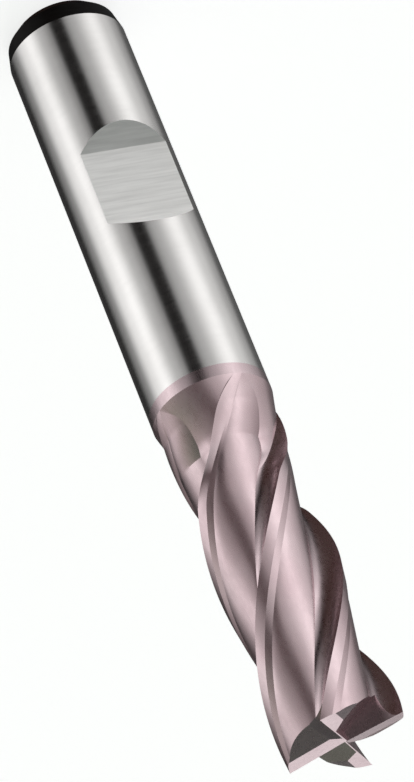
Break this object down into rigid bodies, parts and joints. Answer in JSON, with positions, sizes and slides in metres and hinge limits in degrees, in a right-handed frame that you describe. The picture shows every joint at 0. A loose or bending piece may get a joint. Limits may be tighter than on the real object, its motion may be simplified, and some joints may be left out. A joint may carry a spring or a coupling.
{
  "type": "square end mill",
  "caption": "Square-end helical end mill with a coated fluted head on a plain round shank that has a side-lock flat.",
  "frame": {"origin": "centre of the shank's flat rear face", "axes": "+Z along the tool's axis from the shank's rear face to the cutting end; the side-lock flat faces -Y"},
  "size_m": [0.01, 0.01, 0.072],
  "materials": {
    "ground_steel": "finely ground and bright",
    "coated_steel": "thin rose-mauve hard coating over ground tool steel"
  },
  "bodies": {
    "root": {"shank": "ground_steel", "cutting_head": "coated_steel"}
  },
  "joints": []
}
